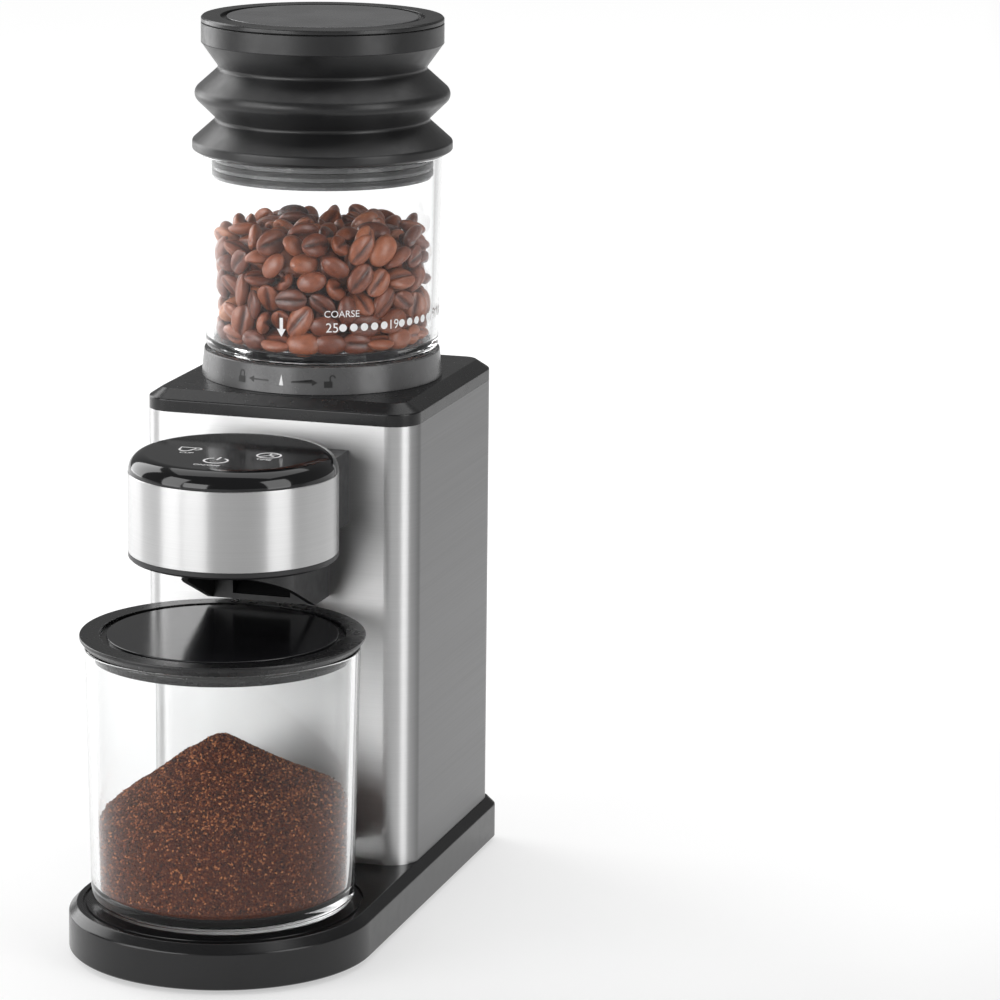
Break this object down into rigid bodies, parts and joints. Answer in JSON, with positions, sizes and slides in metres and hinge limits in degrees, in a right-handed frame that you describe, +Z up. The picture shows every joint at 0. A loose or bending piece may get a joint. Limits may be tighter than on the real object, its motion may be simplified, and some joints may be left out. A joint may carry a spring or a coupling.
{
  "type": "burr coffee grinder",
  "caption": "Burr coffee grinder: clear hopper with folded silicone bellows on a steel tower, round control head and lidded clear canister on the base.",
  "frame": {"origin": "centre of the whole object's footprint, on the surface it stands on", "axes": "+Z up, -Y the front with the canister and control head, +X the right side seen from behind the canister looking to the tower"},
  "size_m": [0.1106, 0.2185, 0.3229],
  "materials": {
    "base_plastic": "satin moulded, dark grey to black",
    "collar_plastic": "satin moulded",
    "rubber": "matte",
    "silicone": "matte silicone",
    "brushed_steel": "horizontally brushed stainless steel",
    "gloss_black": "gloss",
    "lid_plastic": "satin",
    "clear_glass": "polished",
    "clear_plastic": "polished clear",
    "inner_plastic": "moulded",
    "gear_plastic": "natural nylon",
    "steel_parts": "machined",
    "burr_steel": "ground hardened steel",
    "brass": "machined",
    "magnet": "ferrite",
    "circuit_board": "green solder mask",
    "components": "mixed components and copper windings"
  },
  "bodies": {
    "housing": {"base_cover": "base_plastic", "base_bottom_plate": "base_plastic", "base_ballast": "steel_parts", "rubber_feet": "rubber", "base_screws": "steel_parts", "housing_wrap": "brushed_steel", "back_panel": "base_plastic", "cord_gland": "base_plastic", "back_screws": "steel_parts", "top_plate": "base_plastic", "hopper_collar": "collar_plastic", "motor_chassis": "inner_plastic", "upper_posts": "inner_plastic", "head_band": "brushed_steel", "head_drum": "inner_plastic", "head_underside": "base_plastic", "head_touch_cap": "gloss_black", "touch_board": "circuit_board", "head_neck": "base_plastic", "chute": "base_plastic", "burr_chamber": "inner_plastic", "outlet_duct": "inner_plastic", "chamber_seal": "rubber", "upper_bearing": "steel_parts", "lower_bearing": "steel_parts", "idler_pin": "steel_parts", "gearbox_tray": "inner_plastic", "gearbox_cover": "inner_plastic", "motor_can": "steel_parts", "motor_end_cap": "inner_plastic", "motor_magnets": "magnet", "power_board": "circuit_board", "power_components": "components", "board_clip": "inner_plastic", "hopper_sensor": "inner_plastic"},
    "canister": {"canister": "clear_glass"},
    "canister_lid": {"canister_lid": "lid_plastic", "canister_lid_disc": "gloss_black", "canister_lid_seal": "rubber"},
    "adjust_ring": {"grind_adjust_ring": "inner_plastic"},
    "hopper": {"hopper": "clear_plastic", "hopper_magnet": "steel_parts"},
    "bellows_base": {"bellows_plug": "collar_plastic", "bellows_seal_1": "rubber", "bellows_seal_2": "rubber", "bellows": "silicone"},
    "bellows_cap": {"bellows_collar": "silicone", "bellows_cap": "lid_plastic", "bellows_cap_disc": "gloss_black"},
    "burr_carrier": {"burr_carrier": "inner_plastic", "upper_burr": "burr_steel"},
    "burr_drive": {"lower_burr": "burr_steel", "impeller": "inner_plastic", "burr_shaft": "steel_parts", "burr_nut": "steel_parts", "output_gear": "gear_plastic"},
    "idler": {"idler_gear": "gear_plastic"},
    "armature": {"motor_armature": "components", "motor_shaft": "steel_parts", "motor_pinion": "brass"}
  },
  "joints": [
    {"name": "grind_adjust", "type": "hinge", "parent": "housing", "child": "adjust_ring", "pos_m": [0, 0.0549, 0.19], "axis": [0, 0, 1], "range_deg": [-152, 0]},
    {"name": "burr_gap", "type": "slide", "parent": "housing", "child": "burr_carrier", "axis": [0, 0, 1], "range_m": [-0.00131, 0]},
    {"name": "hopper_lift", "type": "slide", "parent": "adjust_ring", "child": "hopper", "axis": [0, 0, 1], "range_m": [0, 0.05]},
    {"name": "bellows_lift", "type": "slide", "parent": "hopper", "child": "bellows_base", "axis": [0, 0, 1], "range_m": [0, 0.03]},
    {"name": "bellows_press", "type": "slide", "parent": "bellows_base", "child": "bellows_cap", "axis": [0, 0, 1], "range_m": [-0.025, 0], "stiffness_N_per_m": 300, "springref_m": 0.005, "deforming": ["bellows"]},
    {"name": "canister_pull", "type": "slide", "parent": "housing", "child": "canister", "axis": [0, -1, 0], "range_m": [0, 0.16]},
    {"name": "lid_lift", "type": "slide", "parent": "canister", "child": "canister_lid", "axis": [0, 0, 1], "range_m": [0, 0.0241]},
    {"name": "burr_spin", "type": "hinge", "parent": "housing", "child": "burr_drive", "pos_m": [0, 0.0549, 0.15], "axis": [0, 0, 1], "continuous": true},
    {"name": "idler_spin", "type": "hinge", "parent": "housing", "child": "idler", "pos_m": [-0.0198, 0.0747, 0.11], "axis": [0, 0, 1], "continuous": true},
    {"name": "motor_spin", "type": "hinge", "parent": "housing", "child": "armature", "pos_m": [-0.02397, 0.05106, 0.06], "axis": [0, 0, 1], "continuous": true}
  ],
  "couplings": [
    {"joint": "burr_gap", "follows": "grind_adjust", "m_per_rad": 0.00049},
    {"joint": "lid_lift", "follows": "canister_pull", "ratio": 0.15},
    {"joint": "idler_spin", "follows": "motor_spin", "ratio": -0.25},
    {"joint": "burr_spin", "follows": "motor_spin", "ratio": 0.083333}
  ]
}
